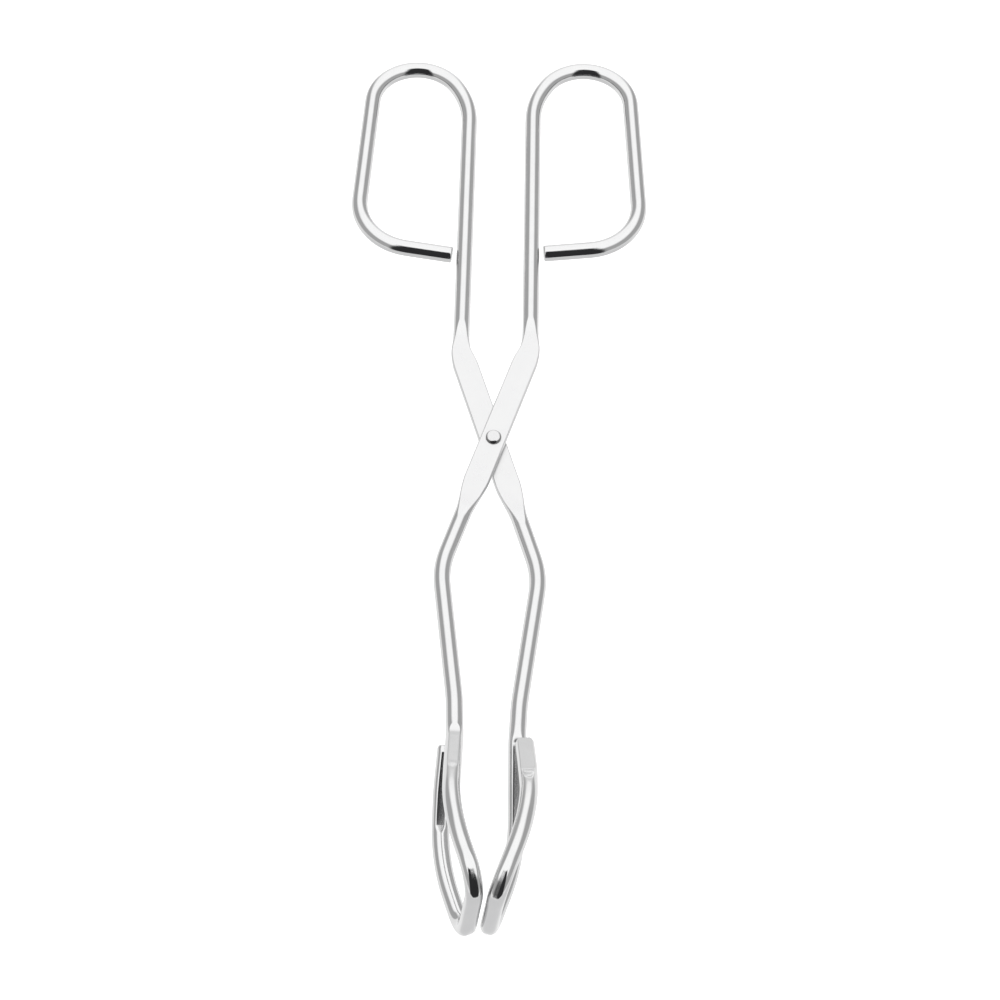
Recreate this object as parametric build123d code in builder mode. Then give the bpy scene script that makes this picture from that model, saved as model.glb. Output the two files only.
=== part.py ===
from build123d import *
import os
from math import atan2, cos, degrees, hypot, radians, sin

os.makedirs("parts", exist_ok=True)

# Scissor tongs bent from round spring-hard wire, lying flat.
# Frame: X across (the jaws and handles open along X), Y along the tongs with the
# finger loops at +Y and the jaws at -Y, Z up along the pivot axis.
# The origin is the centre of the pivot, midway between the two pressed flats.
# The rear half is the front half turned half a turn about Y.

# ---- driving dimensions (mm) ----
wire_d = 5.0            # round wire
wire_r = wire_d / 2
flat_w = 7.7            # pressed pivot flat: width
flat_t = 2.3            # pressed pivot flat: thickness
flat_gap = 0.10         # play between the two flats
wire_z = flat_gap / 2 + flat_t / 2   # height of the front wire's centre line

rivet_shank_r = 1.50
front_hole_r = 1.55     # turns on the rivet
rivet_head_d = 4.7
rivet_head_h = 1.0

arm_out, arm_in = 2.12, 2.1      # pressed spot of the arm at the weld: half thickness left, outer and inner side
ret_out, ret_in = 1.65, 2.1     # the same for the pressed end of the return branch
loop_w = 15.2           # jaw loop: half the distance between its two branches
loop_r = 7.7            # bend radius at the two corners of the jaw tip
return_out = 2.4        # the return branch lies this far outside the arm branch
transition = 9.0        # round to flat, each end of the pivot flat

# ---- centre line of the front half, seen from above ----
free_end = (14.0, 69.9)
loop_low = (44.2, 74.2)         # lower outer corner of the finger loop
loop_high = (38.3, 174.4)       # outer corner at the top of the finger loop
rod_top = (10.0, 130.5)        # inner corner at the top of the finger loop
flat_top = (10.43, 33.2)        # the rod turns into the pivot flat
waist = (-14.33, -45.6)          # the shank turns back towards the middle
shank_low = (-9.16, -88.6)
weld = (-8.75, -99.6)            # the two jaw branches part here
weld_z = 1.0                     # height of the front arm's centre line there
jaw_bend = (-9.6, -130.5)       # the jaw turns inward
jaw_tip = (-1.82, -153.6)       # arm side corner of the tip
bend_r = {"low": 17.3, "high": 14.4, "rod": 25.9, "flat": 12.0,
          "waist": 28.0, "shank": 57.0, "weld": 10.0, "jaw": 41.4, "knee": 120.0}


def unit(a, b):
    d = hypot(b[0] - a[0], b[1] - a[1])
    return ((b[0] - a[0]) / d, (b[1] - a[1]) / d)


def on_line(a, b, dist):
    u = unit(a, b)
    return (a[0] + u[0] * dist, a[1] + u[1] * dist)


def up(p, z):
    return (p[0], p[1], z)


def outward(a, b, dist):
    # sideways step, away from the middle of the tongs, for a branch that runs a -> b
    u = unit(a, b)
    return (u[1] * dist, -u[0] * dist)


# the wire is round down to flat_start, flat from flat_a to flat_b, round again from flat_end
flat_start = on_line(flat_top, rod_top, transition + 2.0)
flat_a = on_line(flat_top, rod_top, 2.0)
flat_b = on_line(waist, flat_top, 16.9 + transition)
flat_end = on_line(waist, flat_top, 16.9)

# the return branch: the same line, stepped outward, at the other side of the loop
o = outward(jaw_bend, jaw_tip, return_out)
tip_back = (jaw_tip[0] + o[0], jaw_tip[1] + o[1])
o = outward(weld, jaw_bend, return_out)
bend_back = (jaw_bend[0] + o[0] - 0.2, jaw_bend[1] + o[1])
back_end = (weld[0] + o[0] + 0.4, -102.0)       # welded to the arm
back_end_z = -1.6
bow = 0.25                      # the return branch bows outward this much below the weld
knee_k = 0.38
ub = unit(back_end, bend_back)
knee = (back_end[0] + (bend_back[0] - back_end[0]) * knee_k + ub[1] * bow,
        back_end[1] + (bend_back[1] - back_end[1]) * knee_k - ub[0] * bow)
knee_z = back_end_z + (-loop_w - back_end_z) * knee_k


def pressed(spine, ramp_in, full, ramp_out, depth, side):
    # a cutter profile, in the plane (distance along the wire, height), that leaves
    # the wire `depth` thick on one side of its spine between full[0] and full[1]
    def height(u):
        for (u0, v0), (u1, v1) in zip(spine, spine[1:]):
            if u <= u1 or (u1, v1) == spine[-1]:
                k = (v1 - v0) / (u1 - u0)
                return v0 + k * (u - u0), hypot(1, k)
    stops = [ramp_in, full[0]] + [u for u, v in spine if full[0] < u < full[1]] + [full[1], ramp_out]
    low, far = [], []
    for u in stops:
        v, stretch = height(u)
        d = depth if full[0] <= u <= full[1] else wire_r + 0.03
        low.append((u, v + side * d * stretch))
        far.append((u, v + side * 7))
    return low + far[::-1]


# ---- return branch of the jaw loop, from the middle of the tip to its pressed end ----
tip_mid = ((jaw_tip[0] + tip_back[0]) / 2, (jaw_tip[1] + tip_back[1]) / 2, 0)
with BuildPart() as return_branch:
    with BuildLine() as return_path:
        FilletPolyline(
            tip_mid,
            up(tip_back, -loop_w),
            up(bend_back, -loop_w),
            up(knee, knee_z),
            up(back_end, back_end_z),
            radius=[loop_r, bend_r["jaw"], bend_r["knee"]],
        )
    with BuildSketch(Plane(origin=tip_mid, z_dir=Vector(*up(tip_back, -loop_w)) - Vector(*tip_mid))):
        Circle(wire_r)
    sweep()
    # pressed facets, outer (below) and inner (above), with a ramp where they run out
    ub = unit(back_end, bend_back)
    slope = (-loop_w - back_end_z) / hypot(bend_back[0] - back_end[0], bend_back[1] - back_end[1])
    spine = [(-8, back_end_z - 8 * slope), (40, back_end_z + 40 * slope)]
    with BuildSketch(Plane(origin=up(back_end, 0), x_dir=up(ub, 0), z_dir=(ub[1], -ub[0], 0))):
        with BuildLine():
            Polyline(*pressed(spine, -5, (-4.9, 14.5), 19, ret_out, -1), close=True)
        make_face()
        with BuildLine():
            Polyline(*pressed(spine, -5, (-4.9, 20.9), 23.4, ret_in, 1), close=True)
        make_face()
    extrude(amount=6, both=True, mode=Mode.SUBTRACT)
    # the cut end has its two corners taken off
    with BuildSketch(Plane(origin=up(back_end, -8), x_dir=up(ub, 0), z_dir=(0, 0, 1))):
        for side in (1, -1):
            with BuildLine():
                Polyline((-1, side * 1.4), (0, side * 1.4), (1.0, side * 2.6), (-1, side * 2.6), close=True)
            make_face()
    extrude(amount=16, mode=Mode.SUBTRACT)

# ---- one whole half, without its rivet hole ----
with BuildPart() as blank:
    # finger loop and handle rod
    with BuildLine() as handle_path:
        FilletPolyline(
            up(free_end, wire_z), up(loop_low, wire_z), up(loop_high, wire_z),
            up(rod_top, wire_z), up(flat_start, wire_z),
            radius=[bend_r["low"], bend_r["high"], bend_r["rod"]],
        )
    with BuildSketch(Plane(origin=up(free_end, wire_z), z_dir=up(unit(free_end, loop_low), 0))):
        Circle(wire_r)
    sweep()
    free_face = blank.faces().filter_by(GeomType.PLANE).sort_by_distance(up(free_end, wire_z))[0]
    chamfer(free_face.edges(), 0.4)

    # round to flat above the pivot
    d_rod = unit(flat_start, flat_a)
    side_rod = (-d_rod[1], d_rod[0])
    with BuildSketch(Plane(origin=up(flat_start, wire_z), x_dir=up(side_rod, 0), z_dir=up(d_rod, 0))):
        Circle(wire_r)
    with BuildSketch(Plane(origin=up(flat_a, wire_z), x_dir=up(side_rod, 0), z_dir=up(d_rod, 0))):
        SlotOverall(flat_w, flat_t)
    loft()

    # the pressed flat, with the bend at its top
    with BuildLine() as flat_path:
        FilletPolyline(up(flat_a, wire_z), up(flat_top, wire_z), up(flat_b, wire_z), radius=[bend_r["flat"]])
    with BuildSketch(Plane(origin=up(flat_a, wire_z), x_dir=up(side_rod, 0), z_dir=up(d_rod, 0))):
        SlotOverall(flat_w, flat_t)
    sweep()

    # flat to round below the pivot
    d_flat = unit(flat_b, flat_end)
    side_flat = (-d_flat[1], d_flat[0])
    with BuildSketch(Plane(origin=up(flat_b, wire_z), x_dir=up(side_flat, 0), z_dir=up(d_flat, 0))):
        SlotOverall(flat_w, flat_t)
    with BuildSketch(Plane(origin=up(flat_end, wire_z), x_dir=up(side_flat, 0), z_dir=up(d_flat, 0))):
        Circle(wire_r)
    loft()

    # shank, waist and the arm branch of the jaw loop, to the middle of the tip
    with BuildLine() as jaw_path:
        FilletPolyline(
            up(flat_end, wire_z), up(waist, wire_z), up(shank_low, wire_z), up(weld, weld_z),
            up(jaw_bend, loop_w), up(jaw_tip, loop_w), tip_mid,
            radius=[bend_r["waist"], bend_r["shank"], bend_r["weld"], bend_r["jaw"], loop_r],
        )
    with BuildSketch(Plane(origin=up(flat_end, wire_z), z_dir=up(d_flat, 0))):
        Circle(wire_r)
    sweep()

    # pressed spot of the arm at the weld, above and below
    ub = unit(weld, jaw_bend)
    slope = (loop_w - weld_z) / hypot(jaw_bend[0] - weld[0], jaw_bend[1] - weld[1])
    spine = [(-10, weld_z + 0.15), (-2.2, weld_z), (2.2, weld_z + 2.2 * slope), (40, weld_z + 40 * slope)]
    with BuildSketch(Plane(origin=up(weld, 0), x_dir=up(ub, 0), z_dir=(ub[1], -ub[0], 0))):
        with BuildLine():
            Polyline(*pressed(spine, -3.2, (-0.3, 14), 19, arm_out, 1), close=True)
        make_face()
        with BuildLine():
            Polyline(*pressed(spine, -3.2, (-0.3, 22.8), 25.3, arm_in, -1), close=True)
        make_face()
    extrude(amount=6, both=True, mode=Mode.SUBTRACT)
    add(return_branch.part)

# ---- front half ----
with BuildPart() as front_arm:
    add(blank.part)
    with Locations((0, 0, 0)):
        Cylinder(front_hole_r, 20, mode=Mode.SUBTRACT)
front_arm.part.label = "front_arm"

# ---- rear half: the same piece turned half a turn about Y, tight on the rivet ----
with BuildPart() as rear_arm:
    add(blank.part, rotation=(0, 180, 0))
    Cylinder(rivet_shank_r, 20, mode=Mode.SUBTRACT)
rear_arm.part.label = "rear_arm"

# ---- pivot rivet: shank and two low heads ----
face_z = flat_gap / 2 + flat_t
with BuildPart() as pivot_rivet:
    with BuildSketch(Plane.XZ):
        with BuildLine():
            r, h, z0 = rivet_head_d / 2, rivet_head_h, face_z
            Polyline((0, -z0 - h), (r - 0.75, -z0 - h))
            TangentArc((r - 0.75, -z0 - h), (r, -z0 - h + 0.9), tangent=(1, 0))
            Polyline((r, -z0 - h + 0.9), (r, -z0), (rivet_shank_r, -z0), (rivet_shank_r, z0 + 0.02),
                     (r, z0 + 0.02), (r, z0 + h - 0.9))
            TangentArc((r, z0 + h - 0.9), (r - 0.75, z0 + h), tangent=(0, 1))
            Polyline((r - 0.75, z0 + h), (0, z0 + h), (0, -z0 - h))
        make_face()
    revolve(axis=Axis.Z)
pivot_rivet.part.label = "pivot_rivet"

for piece in (front_arm, rear_arm, pivot_rivet):
    print(piece.part.label, len(piece.part.solids()), round(piece.part.volume, 1),
          piece.part.bounding_box())
export_step(front_arm.part, "parts/front_arm.step")
export_step(rear_arm.part, "parts/rear_arm.step")
export_step(pivot_rivet.part, "parts/pivot_rivet.step")
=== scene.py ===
import math
import bpy
import numpy as np
from mathutils import Matrix, Vector


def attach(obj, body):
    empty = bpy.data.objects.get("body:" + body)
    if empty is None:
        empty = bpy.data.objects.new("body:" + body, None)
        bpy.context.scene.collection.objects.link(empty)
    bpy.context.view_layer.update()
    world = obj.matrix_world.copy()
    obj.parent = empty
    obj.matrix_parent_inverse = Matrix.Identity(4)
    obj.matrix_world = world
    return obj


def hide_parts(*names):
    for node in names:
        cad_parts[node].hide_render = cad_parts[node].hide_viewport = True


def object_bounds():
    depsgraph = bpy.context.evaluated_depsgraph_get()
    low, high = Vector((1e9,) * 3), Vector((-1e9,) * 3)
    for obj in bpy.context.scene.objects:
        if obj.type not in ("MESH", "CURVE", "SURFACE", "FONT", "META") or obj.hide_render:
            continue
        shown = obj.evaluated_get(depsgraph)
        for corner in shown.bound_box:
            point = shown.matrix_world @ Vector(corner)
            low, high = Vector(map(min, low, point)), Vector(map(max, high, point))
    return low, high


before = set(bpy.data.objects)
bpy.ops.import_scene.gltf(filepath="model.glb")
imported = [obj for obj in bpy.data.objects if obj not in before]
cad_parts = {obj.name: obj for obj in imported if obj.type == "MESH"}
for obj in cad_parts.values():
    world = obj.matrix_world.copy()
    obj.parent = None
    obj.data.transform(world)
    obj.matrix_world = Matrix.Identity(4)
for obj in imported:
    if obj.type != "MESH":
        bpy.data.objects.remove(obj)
cad_box = [list(map(float, c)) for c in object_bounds()]

MM = 0.001

# ------------------------------------------------------------------ the bent wire
# the same driving numbers as the CAD part, in millimetres
WIRE_R = 2.5
FLAT_T, FLAT_W, GAP = 2.3, 7.7, 0.10
WZ = GAP / 2 + FLAT_T / 2
LOOP_W, LOOP_R, OUT = 15.2, 7.7, 2.4
free_end = (14.0, 69.9)
loop_low = (44.2, 74.2)
loop_high = (38.3, 174.4)
rod_top = (10.0, 130.5)
flat_top = (10.43, 33.2)
waist = (-14.33, -45.6)
shank_low = (-9.16, -88.6)
weld = (-8.75, -99.6)
jaw_bend = (-9.6, -130.5)
jaw_tip = (-1.82, -153.6)


def unit(a, b):
    d = math.hypot(b[0] - a[0], b[1] - a[1])
    return ((b[0] - a[0]) / d, (b[1] - a[1]) / d)


def outward(a, b, dist):
    u = unit(a, b)
    return (u[1] * dist, -u[0] * dist)


o = outward(jaw_bend, jaw_tip, OUT)
tip_back = (jaw_tip[0] + o[0], jaw_tip[1] + o[1])
o = outward(weld, jaw_bend, OUT)
bend_back = (jaw_bend[0] + o[0] - 0.2, jaw_bend[1] + o[1])
back_end = (weld[0] + o[0] + 0.4, -102.0)
# the return branch bows outward a little below the weld
ub = unit(back_end, bend_back)
knee = (back_end[0] + (bend_back[0] - back_end[0]) * 0.38 + ub[1] * 0.25,
        back_end[1] + (bend_back[1] - back_end[1]) * 0.38 - ub[0] * 0.25,
        -1.6 + (-LOOP_W + 1.6) * 0.38)

WIRE = [
    (*free_end, WZ), (*loop_low, WZ), (*loop_high, WZ), (*rod_top, WZ), (*flat_top, WZ),
    (*waist, WZ), (*shank_low, WZ), (*weld, 1.0), (*jaw_bend, LOOP_W), (*jaw_tip, LOOP_W),
    (*tip_back, -LOOP_W), (*bend_back, -LOOP_W), knee, (*back_end, -1.6),
]
BEND = [0, 17.3, 14.4, 25.9, 12.0, 28.0, 57.0, 10.0, 41.4, LOOP_R, LOOP_R, 41.4, 120.0, 0]


def filleted(points, radii, step):
    pts = [np.array(p, float) for p in points]
    out = [pts[0]]
    for i in range(1, len(pts) - 1):
        a, b = pts[i - 1] - pts[i], pts[i + 1] - pts[i]
        a, b = a / np.linalg.norm(a), b / np.linalg.norm(b)
        inner = math.acos(max(-1.0, min(1.0, float(a @ b))))
        turn, r = math.pi - inner, radii[i]
        t = r / math.tan(inner / 2)
        bis = (a + b) / np.linalg.norm(a + b)
        c = pts[i] + bis * r / math.sin(inner / 2)
        s = pts[i] + a * t
        u, v = (s - c) / r, -a
        n = max(1, int(np.linalg.norm(s - out[-1]) / step))
        p0 = out[-1]
        out += [p0 + (s - p0) * k / n for k in range(1, n + 1)]
        n = max(6, int(r * turn / step))
        out += [c + r * (u * math.cos(turn * k / n) + v * math.sin(turn * k / n)) for k in range(1, n + 1)]
    n = max(1, int(np.linalg.norm(pts[-1] - out[-1]) / step))
    p0 = out[-1]
    out += [p0 + (pts[-1] - p0) * k / n for k in range(1, n + 1)]
    return np.array(out)


def smooth_rows(a, sigma, step):
    # gaussian along the path, with the ends carried on straight
    n = int(4 * sigma / step)
    w = np.exp(-0.5 * (np.arange(-n, n + 1) * step / sigma) ** 2)
    w /= w.sum()
    head = 2 * a[0] - a[1:n + 1][::-1]
    tail = 2 * a[-1] - a[-n - 1:-1][::-1]
    full = np.vstack([head, a, tail])
    return np.stack([np.convolve(full[:, k], w, "valid") for k in range(a.shape[1])], 1)


def ease(x):
    x = np.clip(x, 0, 1)
    return x * x * (3 - 2 * x)


STEP = 0.1
_raw = filleted(WIRE, BEND, 0.1)
_s = np.concatenate([[0], np.cumsum(np.linalg.norm(np.diff(_raw, axis=0), axis=1))])
S = np.arange(0, _s[-1], STEP)
PATH = np.stack([np.interp(S, _s, _raw[:, k]) for k in range(3)], 1)
PATH = smooth_rows(PATH, 1.1, STEP)
TAN = np.gradient(PATH, STEP, axis=0)
TAN /= np.linalg.norm(TAN, axis=1)[:, None]
LENGTH = S[-1]


def s_near(p, low=0, high=None):
    high = high or LENGTH
    ok = (S >= low) & (S <= high)
    d = np.linalg.norm(PATH - np.array(p), axis=1)
    d[~ok] = 1e9
    return float(S[d.argmin()])


s_flat_top = s_near((*flat_top, WZ))
s_pivot = s_near((0, 0, WZ))
s_waist = s_near((*waist, WZ))
s_tip = s_near(((jaw_tip[0] + tip_back[0]) / 2, (jaw_tip[1] + tip_back[1]) / 2, 0))

# ------------------------------------------------------------------ section along the wire
# The section is a round of half width A and half height Q, cut off flat at HO on its outer
# side (up on the handle and the arm, out on the jaw) and at HI on its inner side.
HO, HI = np.full(len(S), WIRE_R), np.full(len(S), WIRE_R)
A, Q = np.full(len(S), WIRE_R), np.full(len(S), WIRE_R)


def s_at_y(y, low, high):
    ok = (S >= low) & (S <= high)
    d = np.where(ok, np.abs(PATH[:, 1] - y), 1e9)
    return float(S[d.argmin()])


def window(stops, soft=0.5):
    """1 between the middle two stops, running out to 0 at the outer two."""
    a0, a1, b1, b0 = stops
    w = np.minimum(np.clip((S - a0) / max(a1 - a0, 1e-6), 0, 1), np.clip((b0 - S) / max(b0 - b1, 1e-6), 0, 1))
    return (1 - soft) * w + soft * ease(w)


def press(arr, value, stops, soft=0.5):
    w = window(stops, soft)
    return arr + (value - arr) * w


# pivot flat: its faces run further along the wire than its full width does
f_arm = [s_at_y(y, s_flat_top - 20, s_waist) for y in (44.0, 33.5, -20.5, -29.5)]
w_arm = [s_at_y(y, s_flat_top - 20, s_waist) for y in (38.5, 27.5, -14.5, -26.0)]
HO = press(HO, FLAT_T / 2, f_arm, 0.25)
HI = press(HI, FLAT_T / 2, f_arm, 0.25)
Q = press(Q, 3.0, w_arm)
A = press(A, FLAT_W / 2, w_arm, 0.8)

# pressed spot of the arm at the weld, and the pressed end of the return branch
HO = press(HO, 2.12, [s_at_y(y, s_waist, s_tip) for y in (-97.5, -99.9, -113.6, -118.2)], 0.9)
HO -= 0.10 * window([s_at_y(y, s_waist, s_tip) for y in (-98.0, -99.8, -100.2, -103.2)], 1.0)
HI = press(HI, 2.1, [s_at_y(y, s_waist, s_tip) for y in (-98.0, -101.0, -123.3, -125.8)])
A = press(A, 2.56, [s_at_y(y, s_waist, s_tip) for y in (-97.6, -101.0, -114.0, -121.0)])
HO = press(HO, 1.65, [s_at_y(y, s_tip, LENGTH) for y in (-121.8, -114.6)] + [LENGTH + 1, LENGTH + 2], 0.95)
HI = press(HI, 2.1, [s_at_y(y, s_tip, LENGTH) for y in (-124.6, -122.6)] + [LENGTH + 1, LENGTH + 2])
A = press(A, 2.68, [s_at_y(y, s_tip, LENGTH) for y in (-121.6, -113.5)] + [LENGTH + 1, LENGTH + 2])

# the wire flattens a little on the outside of the two tight tip corners
for lo_s, hi_s in ((s_tip - 25, s_tip), (s_tip, s_tip + 25)):
    mid = float(S[(S >= lo_s) & (S <= hi_s)][np.linalg.norm(np.gradient(TAN, STEP, axis=0), axis=1)[(S >= lo_s) & (S <= hi_s)].argmax()])
    w = np.exp(-0.5 * ((S - mid) / 4.5) ** 4)
    HO = HO - 0.22 * w
    A = A + 0.06 * w

# a hair under the CAD wire, so the visual stays inside it
A = A - 0.004

# frame of the section: X sideways in plan, D its outer side
plan = TAN[:, :2].copy()
back = S > s_tip
plan[back] *= -1
flatness = np.linalg.norm(plan, axis=1)
good = flatness > 0.6
for k in range(2):
    plan[:, k] = np.interp(S, S[good], (plan[:, k] / np.maximum(flatness, 1e-6))[good])
plan /= np.linalg.norm(plan, axis=1)[:, None]
side_dir = np.stack([plan[:, 1], -plan[:, 0], 0 * S], 1)
side_dir = smooth_rows(side_dir, 1.5, STEP)
X = side_dir - (side_dir * TAN).sum(1)[:, None] * TAN
X /= np.linalg.norm(X, axis=1)[:, None]
D = np.cross(X, TAN)


def stations():
    """Ring positions: close together in bends, transitions and facets, wider on straight wire."""
    curv = np.linalg.norm(np.gradient(TAN, STEP, axis=0), axis=1)
    change = sum(np.abs(np.gradient(a, STEP)) for a in (HO, HI, A, Q))
    fine = (curv > 0.003) | (change > 1e-4)
    n = int(2 / STEP)
    ramp = np.convolve((change > 1e-3).astype(float), np.ones(2 * n + 1), "same") > 0
    n = int(3 / STEP)
    fine = np.convolve(fine.astype(float), np.ones(2 * n + 1), "same") > 0
    out, s = [0.0], 0.0
    while s < LENGTH - 0.05:
        i = min(len(S) - 1, int(s / STEP))
        s += 0.3 if ramp[i] else 0.5 if fine[i] else 2.0
        out.append(min(s, LENGTH))
    return np.array(out)


RING = 96


def pressed_height(x, flat, full):
    """Height of a round of half height `full`, pressed to `flat`, with a soft edge to the facet."""
    k = 0.02 + 0.20 * min(1.0, max(0.0, (full - flat) / 0.25))
    if flat > full - 1e-6:
        return x
    h = np.maximum(k - np.abs(x - flat), 0) / k
    return np.minimum(x, flat) - h * h * k / 4


def half_mesh(name, turned, v_shift):
    phi = 2 * math.pi * (np.arange(RING) + 0.5) / RING
    cs, sn = np.cos(phi), np.sin(phi)
    rows, vs = [], []

    def at(arr, s):
        if arr.ndim == 1:
            return np.interp(s, S, arr)
        return np.array([np.interp(s, S, arr[:, k]) for k in range(arr.shape[1])])

    def ring(s, narrow=0.0, thin_o=0.0, thin_i=0.0):
        c, d, x = at(PATH, s), at(D, s), at(X, s)
        ho, hi, a, q = at(HO, s) - thin_o, at(HI, s) - thin_i, at(A, s) - narrow, at(Q, s)
        v = np.where(sn > 0, pressed_height((q - thin_o) * np.maximum(sn, 0), ho, q - thin_o),
                     -pressed_height((q - thin_i) * np.maximum(-sn, 0), hi, q - thin_i))
        rows.append(c[None, :] + np.outer(a * cs, x) + np.outer(v, d))
        vs.append(s)

    # free end: sheared square with its rim rolled over
    for d_in, cut in ((0.0, 0.55), (0.06, 0.30), (0.18, 0.12), (0.40, 0.02)):
        ring(d_in, cut, cut, cut)
    st = stations()
    st = st[(st > 0.7) & (st < LENGTH - 2.7)]
    for s in st:
        ring(float(s))
    # pressed end: its two corners are rounded off, and its inner rim rolls over
    def roll(r, d_in):
        e = max(0.0, r - d_in)
        return r - math.sqrt(max(0.0, r * r - e * e))

    for d_in in (2.5, 2.2, 1.9, 1.65, 1.45, 1.25, 1.0, 0.8, 0.62, 0.46, 0.32, 0.2, 0.11, 0.05, 0.0):
        ring(LENGTH - d_in, 0.9 * roll(1.35, d_in), 0.9 * roll(0.3, d_in), 0.68 * roll(2.4, d_in))
    rows_a = np.array(rows)
    n = len(rows_a)
    verts = rows_a.reshape(-1, 3)
    first = rows_a[0].mean(0)
    last = rows_a[-1].mean(0)
    # each cap is closed with one inner ring and a middle point
    inner0 = first + (rows_a[0] - first) * 0.5
    inner1 = last + (rows_a[-1] - last) * 0.5
    verts = np.vstack([verts, inner0, inner1, first[None], last[None]]) * MM
    if turned:
        verts = verts * np.array([-1, 1, -1])
    k = np.arange(RING)
    k1 = (k + 1) % RING
    quads = []
    for i in range(n - 1):
        quads.append(np.stack([i * RING + k, i * RING + k1, (i + 1) * RING + k1, (i + 1) * RING + k], 1))
    b0, b1 = n * RING, n * RING + RING
    quads.append(np.stack([b0 + k, b0 + k1, k1, k], 1))
    quads.append(np.stack([(n - 1) * RING + k, (n - 1) * RING + k1, b1 + k1, b1 + k], 1))
    quads = np.vstack(quads)
    c0, c1 = b1 + RING, b1 + RING + 1
    tris = [(c0, int(b0 + q1), int(b0 + q)) for q, q1 in zip(k, k1)]
    tris += [(c1, int(b1 + q), int(b1 + q1)) for q, q1 in zip(k, k1)]
    faces = [tuple(map(int, f)) for f in quads] + tris
    me = bpy.data.meshes.new(name)
    me.from_pydata([tuple(v) for v in verts], [], faces)
    # the winding must face outward
    me.update()
    uv = me.uv_layers.new(name="wire")
    loops = np.zeros(len(me.loops), np.int64)
    me.loops.foreach_get("vertex_index", loops)
    u_of = np.concatenate([np.tile(k / RING, n), k / RING, k / RING, [0, 0]])
    v_of = np.concatenate([np.repeat(np.array(vs), RING), np.full(RING, -1), np.full(RING, LENGTH + 1), [-1.5, LENGTH + 1.5]])
    uvs = np.stack([u_of[loops], (v_of[loops] + v_shift) * MM], 1)
    # the seam column must not run backward across the texture
    starts = np.zeros(len(me.polygons), np.int64)
    totals = np.zeros(len(me.polygons), np.int64)
    me.polygons.foreach_get("loop_start", starts)
    me.polygons.foreach_get("loop_total", totals)
    for j in np.nonzero(totals == 4)[0]:
        sl = slice(starts[j], starts[j] + 4)
        if uvs[sl, 0].max() - uvs[sl, 0].min() > 0.5:
            part = uvs[sl]
            part[part[:, 0] < 0.5, 0] += 1
            uvs[sl] = part
    uv.data.foreach_set("uv", uvs.astype(np.float32).ravel())
    me.polygons.foreach_set("use_smooth", np.ones(len(me.polygons), bool))
    ob = bpy.data.objects.new(name, me)
    bpy.context.scene.collection.objects.link(ob)
    return ob


def fix_normals(ob):
    import bmesh
    bm = bmesh.new()
    bm.from_mesh(ob.data)
    bmesh.ops.recalc_face_normals(bm, faces=bm.faces)
    vol = bm.calc_volume(signed=True)
    if vol < 0:
        bmesh.ops.reverse_faces(bm, faces=bm.faces)
    bm.to_mesh(ob.data)
    bm.free()
    ob.data.set_sharp_from_angle(angle=math.radians(58))
    return ob


front = fix_normals(half_mesh("front_half_wire", False, 0.0))
rear = fix_normals(half_mesh("rear_half_wire", True, 731.0))


# ------------------------------------------------------------------ rivet
def lathe(name, profile, seg=96):
    prof = np.array(profile, float)
    a = 2 * math.pi * np.arange(seg) / seg
    rows = []
    for r, z in prof:
        rows.append(np.stack([r * np.cos(a), r * np.sin(a), np.full(seg, z)], 1))
    verts = np.vstack(rows + [np.array([[0, 0, prof[0][1]], [0, 0, prof[-1][1]]])]) * MM
    n = len(prof)
    faces = []
    for i in range(n - 1):
        for q in range(seg):
            q1 = (q + 1) % seg
            faces.append((i * seg + q, i * seg + q1, (i + 1) * seg + q1, (i + 1) * seg + q))
    for q in range(seg):
        q1 = (q + 1) % seg
        faces.append((n * seg, q1, q))
        faces.append((n * seg + 1, (n - 1) * seg + q, (n - 1) * seg + q1))
    me = bpy.data.meshes.new(name)
    me.from_pydata([tuple(v) for v in verts], [], faces)
    me.polygons.foreach_set("use_smooth", np.ones(len(me.polygons), bool))
    ob = bpy.data.objects.new(name, me)
    bpy.context.scene.collection.objects.link(ob)
    return fix_normals(ob)


FACE = GAP / 2 + FLAT_T
R_HEAD, H_HEAD = 2.28, 1.0


def head(sign):
    """Half profile of a low peened head, from the flat up to its middle."""
    pts = [(1.5, FACE), (1.82, FACE + 0.001), (1.95, FACE + 0.015), (2.10, FACE + 0.06), (2.21, FACE + 0.13), (R_HEAD - 0.01, FACE + 0.21)]
    for k in range(0, 11):
        t = 0.5 * math.pi * k / 10
        pts.append((R_HEAD - 0.72 * (1 - math.cos(t)), FACE + 0.27 + (H_HEAD - 0.32) * math.sin(t)))
    pts += [(1.2, FACE + H_HEAD - 0.035), (0.8, FACE + H_HEAD - 0.016), (0.5, FACE + H_HEAD - 0.005), (0.15, FACE + H_HEAD)]
    return [(r, sign * z) for r, z in pts]


profile = list(reversed(head(-1))) + head(1)
rivet = lathe("rivet_visual", profile)

# ------------------------------------------------------------------ materials
def node(nt, kind, **props):
    nd = nt.nodes.new(kind)
    for key, value in props.items():
        setattr(nd, key, value)
    return nd


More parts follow.
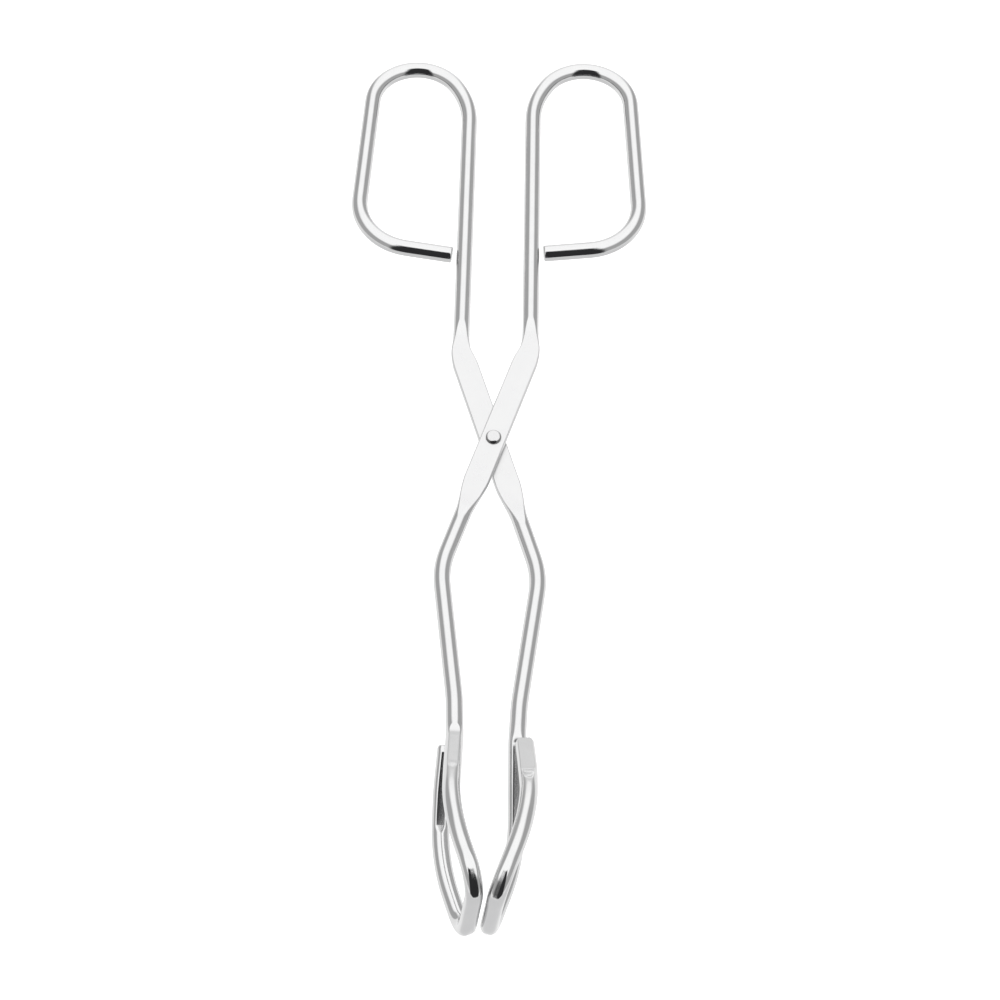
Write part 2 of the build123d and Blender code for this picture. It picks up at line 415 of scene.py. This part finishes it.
def steel(name, base, rough, line_bump, grain_bump, wobble, wobble_scale=85.0, haze=None, foot_shade=None):
    m = bpy.data.materials.new(name)
    m.use_nodes = True
    nt = m.node_tree
    nt.nodes.clear()
    L = nt.links.new
    out = node(nt, "ShaderNodeOutputMaterial")
    bs = node(nt, "ShaderNodeBsdfPrincipled")
    L(bs.outputs[0], out.inputs[0])
    bs.inputs["Metallic"].default_value = 1.0
    uv = node(nt, "ShaderNodeUVMap", uv_map="wire")
    co = node(nt, "ShaderNodeTexCoord")
    # drawing lines: long along the wire, fine round it
    mp = node(nt, "ShaderNodeMapping")
    mp.inputs["Scale"].default_value = (260.0, 60.0, 1.0)
    L(uv.outputs["UV"], mp.inputs["Vector"])
    lines = node(nt, "ShaderNodeTexNoise")
    lines.inputs["Scale"].default_value = 1.0
    lines.inputs["Detail"].default_value = 4.0
    L(mp.outputs[0], lines.inputs["Vector"])
    # slow waviness left by drawing, bending and tumbling
    wave = node(nt, "ShaderNodeTexNoise")
    wave.inputs["Scale"].default_value = wobble_scale
    wave.inputs["Detail"].default_value = 2.0
    L(co.outputs["Object"], wave.inputs["Vector"])
    # fine grain of tumbling
    grain = node(nt, "ShaderNodeTexNoise")
    grain.inputs["Scale"].default_value = 5200.0
    grain.inputs["Detail"].default_value = 3.0
    L(co.outputs["Object"], grain.inputs["Vector"])
    smear = node(nt, "ShaderNodeTexNoise")
    smear.inputs["Scale"].default_value = 160.0
    smear.inputs["Detail"].default_value = 5.0
    smear.inputs["Roughness"].default_value = 0.6
    L(co.outputs["Object"], smear.inputs["Vector"])
    # colour: two close steels
    ramp = node(nt, "ShaderNodeValToRGB")
    ramp.color_ramp.elements[0].position = 0.3
    ramp.color_ramp.elements[1].position = 0.7
    ramp.color_ramp.elements[0].color = (base[0] * 0.965, base[1] * 0.965, base[2] * 0.97, 1)
    ramp.color_ramp.elements[1].color = (*base, 1)
    L(smear.outputs["Fac"], ramp.inputs["Fac"])
    if foot_shade:
        # painted shade: the foot of the head, next to the flat, is darkened in the base colour, and the crown stays
        # lighter
        low_z, high_z, shade_tone = foot_shade
        op = node(nt, "ShaderNodeSeparateXYZ")
        L(co.outputs["Object"], op.inputs[0])
        az = node(nt, "ShaderNodeMath", operation="ABSOLUTE")
        L(op.outputs["Z"], az.inputs[0])
        fr = node(nt, "ShaderNodeMapRange", interpolation_type="SMOOTHSTEP")
        fr.inputs["From Min"].default_value, fr.inputs["From Max"].default_value = low_z, high_z
        L(az.outputs[0], fr.inputs["Value"])
        fm_ = node(nt, "ShaderNodeMix", data_type="RGBA")
        L(fr.outputs[0], fm_.inputs[0])
        fm_.inputs[6].default_value = (shade_tone, shade_tone, shade_tone, 1)
        L(ramp.outputs["Color"], fm_.inputs[7])
        L(fm_.outputs[2], bs.inputs["Base Color"])
    else:
        L(ramp.outputs["Color"], bs.inputs["Base Color"])
    # roughness: smears, a little more along the drawing lines
    mr = node(nt, "ShaderNodeMapRange")
    mr.inputs["From Min"].default_value = 0.3
    mr.inputs["From Max"].default_value = 0.7
    mr.inputs["To Min"].default_value = rough * 0.8
    mr.inputs["To Max"].default_value = rough * 1.35
    L(smear.outputs["Fac"], mr.inputs["Value"])
    rough_out = mr.outputs["Result"]
    if haze:
        # the pressed pivot flats are hazier than the drawn wire: a stretch of the length
        # along the wire, the second half carrying the same stretch further on
        start, stop, second, extra = haze
        sp = node(nt, "ShaderNodeSeparateXYZ")
        L(uv.outputs["UV"], sp.inputs[0])
        late = node(nt, "ShaderNodeMath", operation="GREATER_THAN")
        late.inputs[1].default_value = second - 0.01
        L(sp.outputs["Y"], late.inputs[0])
        back_by = node(nt, "ShaderNodeMath", operation="MULTIPLY")
        back_by.inputs[1].default_value = second
        L(late.outputs[0], back_by.inputs[0])
        along = node(nt, "ShaderNodeMath", operation="SUBTRACT")
        L(sp.outputs["Y"], along.inputs[0])
        L(back_by.outputs[0], along.inputs[1])
        edges = []
        for a0, a1, v0, v1 in ((start, start + 0.006, 0.0, 1.0), (stop - 0.006, stop, 1.0, 0.0)):
            e = node(nt, "ShaderNodeMapRange", interpolation_type="SMOOTHSTEP")
            e.inputs["From Min"].default_value, e.inputs["From Max"].default_value = a0, a1
            e.inputs["To Min"].default_value, e.inputs["To Max"].default_value = v0, v1
            L(along.outputs[0], e.inputs["Value"])
            edges.append(e.outputs[0])
        both = node(nt, "ShaderNodeMath", operation="MULTIPLY")
        L(edges[0], both.inputs[0])
        L(edges[1], both.inputs[1])
        more = node(nt, "ShaderNodeMath", operation="MULTIPLY_ADD")
        more.inputs[1].default_value = extra
        L(both.outputs[0], more.inputs[0])
        L(rough_out, more.inputs[2])
        rough_out = more.outputs[0]
    L(rough_out, bs.inputs["Roughness"])
    b1 = node(nt, "ShaderNodeBump")
    b1.inputs["Strength"].default_value = line_bump
    b1.inputs["Distance"].default_value = 0.00002
    L(lines.outputs["Fac"], b1.inputs["Height"])
    b2 = node(nt, "ShaderNodeBump")
    b2.inputs["Strength"].default_value = wobble
    b2.inputs["Distance"].default_value = 0.0002
    L(wave.outputs["Fac"], b2.inputs["Height"])
    L(b1.outputs[0], b2.inputs["Normal"])
    b3 = node(nt, "ShaderNodeBump")
    b3.inputs["Strength"].default_value = grain_bump
    b3.inputs["Distance"].default_value = 0.00001
    L(grain.outputs["Fac"], b3.inputs["Height"])
    L(b2.outputs[0], b3.inputs["Normal"])
    L(b3.outputs[0], bs.inputs["Normal"])
    return m


wire_mat = steel("polished_wire", (0.66, 0.66, 0.66), 0.08, 0.32, 0.10, 0.25,
                 haze=((f_arm[0] + 1) * MM, (f_arm[3] - 1) * MM, 0.731, 0.20))
front.data.materials.append(wire_mat)
rear.data.materials.append(wire_mat)
# the rivet carries painted shade: its base colour darkens towards the foot of the head, next to the flat
rivet_mat = steel("rivet_steel", (0.62, 0.62, 0.62), 0.14, 0.2, 0.6, 0.8, 900.0,
                  foot_shade=((FACE + 0.62) * MM, (FACE + 0.90) * MM, 0.26))
rivet.data.materials.append(rivet_mat)
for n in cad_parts.values():
    n.data.materials.clear()
    n.data.materials.append(rivet_mat if n.name.startswith("pivot") else wire_mat)

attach(front, "front_half")
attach(rear, "rear_half")
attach(rivet, "rear_half")
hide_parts("front_arm")
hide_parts("rear_arm")
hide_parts("pivot_rivet")

# ------------------------------------------------------------------ floor, light, camera
low = min(c[2] for c in cad_box)
bpy.ops.mesh.primitive_circle_add(vertices=128, radius=0.9, fill_type="NGON", location=(0, -0.01, low - 0.0002))
floor = bpy.context.object
floor.name = "floor"
fm = bpy.data.materials.new("floor_white")
fm.use_nodes = True
fb = fm.node_tree.nodes["Principled BSDF"]
fb.inputs["Base Color"].default_value = (0.9, 0.9, 0.9, 1)
fb.inputs["Roughness"].default_value = 0.9
fb.inputs["Specular IOR Level"].default_value = 0.1
fb.inputs["Emission Color"].default_value = (1, 1, 1, 1)
fb.inputs["Emission Strength"].default_value = 0.65
floor.data.materials.append(fm)
floor.visible_glossy = False

world = bpy.data.worlds.new("studio")
bpy.context.scene.world = world
world.use_nodes = True
wn = world.node_tree
wn.nodes.clear()
WL = wn.links.new
tc = node(wn, "ShaderNodeTexCoord")
sep = node(wn, "ShaderNodeSeparateXYZ")
WL(tc.outputs["Generated"], sep.inputs[0])
def ramp_of(stops, ease_in="EASE"):
    r = node(wn, "ShaderNodeValToRGB")
    r.color_ramp.interpolation = ease_in
    e = r.color_ramp.elements
    e[0].position, e[0].color = stops[0][0], (*[stops[0][1]] * 3, 1)
    e[1].position, e[1].color = stops[-1][0], (*[stops[-1][1]] * 3, 1)
    for pos, v in stops[1:-1]:
        m = e.new(pos)
        m.color = (v, v, v, 1)
    return r


def step_of(source, a, b, va, vb):
    m = node(wn, "ShaderNodeMapRange", interpolation_type="SMOOTHSTEP")
    m.inputs["From Min"].default_value, m.inputs["From Max"].default_value = a, b
    m.inputs["To Min"].default_value, m.inputs["To Max"].default_value = va, vb
    WL(source, m.inputs["Value"])
    return m.outputs[0]


def times(a, b):
    m = node(wn, "ShaderNodeMath", operation="MULTIPLY")
    WL(a, m.inputs[0])
    WL(b, m.inputs[1])
    return m.outputs[0]


def mix_of(f, a, b):
    m = node(wn, "ShaderNodeMix", data_type="RGBA")
    WL(f, m.inputs[0])
    for src, sock in ((a, m.inputs[6]), (b, m.inputs[7])):
        if isinstance(src, tuple):
            sock.default_value = src
        else:
            WL(src, sock)
    return m.outputs[2]


# height of the direction, 0 straight down, 0.5 level, 1 straight up
hz = node(wn, "ShaderNodeMapRange")
hz.inputs["From Min"].default_value, hz.inputs["From Max"].default_value = -1.0, 1.0
WL(sep.outputs["Z"], hz.inputs["Value"])
ax = node(wn, "ShaderNodeMath", operation="ABSOLUTE")
WL(sep.outputs["X"], ax.inputs[0])
# overhead softbox; to the sides the room is mid grey, behind the part it is lighter
side_sky = ramp_of([(0.0, 1.1), (0.39, 1.1), (0.45, 0.56), (0.5, 0.54), (0.78, 0.52), (0.89, 1.40), (1.0, 1.42)])
back_sky = ramp_of([(0.0, 1.0), (0.30, 1.05), (0.42, 1.30), (0.49, 1.26), (0.535, 0.93), (0.575, 0.94), (0.66, 1.30), (0.75, 1.40), (1.0, 1.42)])
WL(hz.outputs[0], side_sky.inputs["Fac"])
WL(hz.outputs[0], back_sky.inputs["Fac"])
room = mix_of(step_of(ax.outputs[0], 0.26, 0.56, 0.0, 1.0), back_sky.outputs[0], side_sky.outputs[0])
# the table is a little darker on the viewer's side
near = times(step_of(sep.outputs["Y"], -0.15, 0.15, 1.0, 0.0), step_of(sep.outputs["Z"], -0.30, -0.42, 0.0, 1.0))
room = mix_of(near, room, (0.87, 0.87, 0.875, 1))
# the dark side of the room on the viewer's side, one third of a turn wide
ratio = node(wn, "ShaderNodeMath", operation="DIVIDE")
WL(ax.outputs[0], ratio.inputs[0])
by = node(wn, "ShaderNodeMath", operation="MAXIMUM")
ny = node(wn, "ShaderNodeMath", operation="MULTIPLY")
ny.inputs[1].default_value = -1.0
WL(sep.outputs["Y"], ny.inputs[0])
WL(ny.outputs[0], by.inputs[0])
by.inputs[1].default_value = 0.35
WL(by.outputs[0], ratio.inputs[1])
dark = times(times(step_of(ratio.outputs[0], 0.60, 0.84, 1.0, 0.0), step_of(sep.outputs["Y"], -0.20, -0.29, 0.0, 1.0)),
             step_of(sep.outputs["Z"], -0.34, -0.25, 0.0, 1.0))
mixd = mix_of(dark, room, (0.036, 0.036, 0.038, 1))
lp = node(wn, "ShaderNodeLightPath")
mixc = node(wn, "ShaderNodeMix", data_type="RGBA")
WL(lp.outputs["Is Camera Ray"], mixc.inputs[0])
WL(mixd, mixc.inputs[6])
mixc.inputs[7].default_value = (1, 1, 1, 1)
bg = node(wn, "ShaderNodeBackground")
WL(mixc.outputs[2], bg.inputs[0])
wo = node(wn, "ShaderNodeOutputWorld")
WL(bg.outputs[0], wo.inputs[0])
bpy.context.scene.view_settings.view_transform = "Standard"

# camera
CX, CY, ROLL, DIST, FPX, TX, TY = -0.019, -0.552, 0.023, 965.3, 3303.0, 2.39, -20.59
c = np.array([CX, CY, math.sqrt(1 - CX * CX - CY * CY)])
upv = np.array([0, 1.0, 0]) - c[1] * c
upv /= np.linalg.norm(upv)
right = np.cross(upv, c)
r2 = math.cos(ROLL) * right + math.sin(ROLL) * upv
u2 = -math.sin(ROLL) * right + math.cos(ROLL) * upv
eye = (np.array([TX, TY, 0]) + c * DIST) * MM
cam_data = bpy.data.cameras.new("camera")
cam = bpy.data.objects.new("camera", cam_data)
bpy.context.scene.collection.objects.link(cam)
cam_data.sensor_width = 36.0
cam_data.lens = 36.0 * FPX / 1000.0
cam_data.clip_end = 20
cam_data.clip_start = 0.01
cam.matrix_world = Matrix([
    [r2[0], u2[0], c[0], eye[0]],
    [r2[1], u2[1], c[1], eye[1]],
    [r2[2], u2[2], c[2], eye[2]],
    [0, 0, 0, 1]])
bpy.context.scene.camera = cam
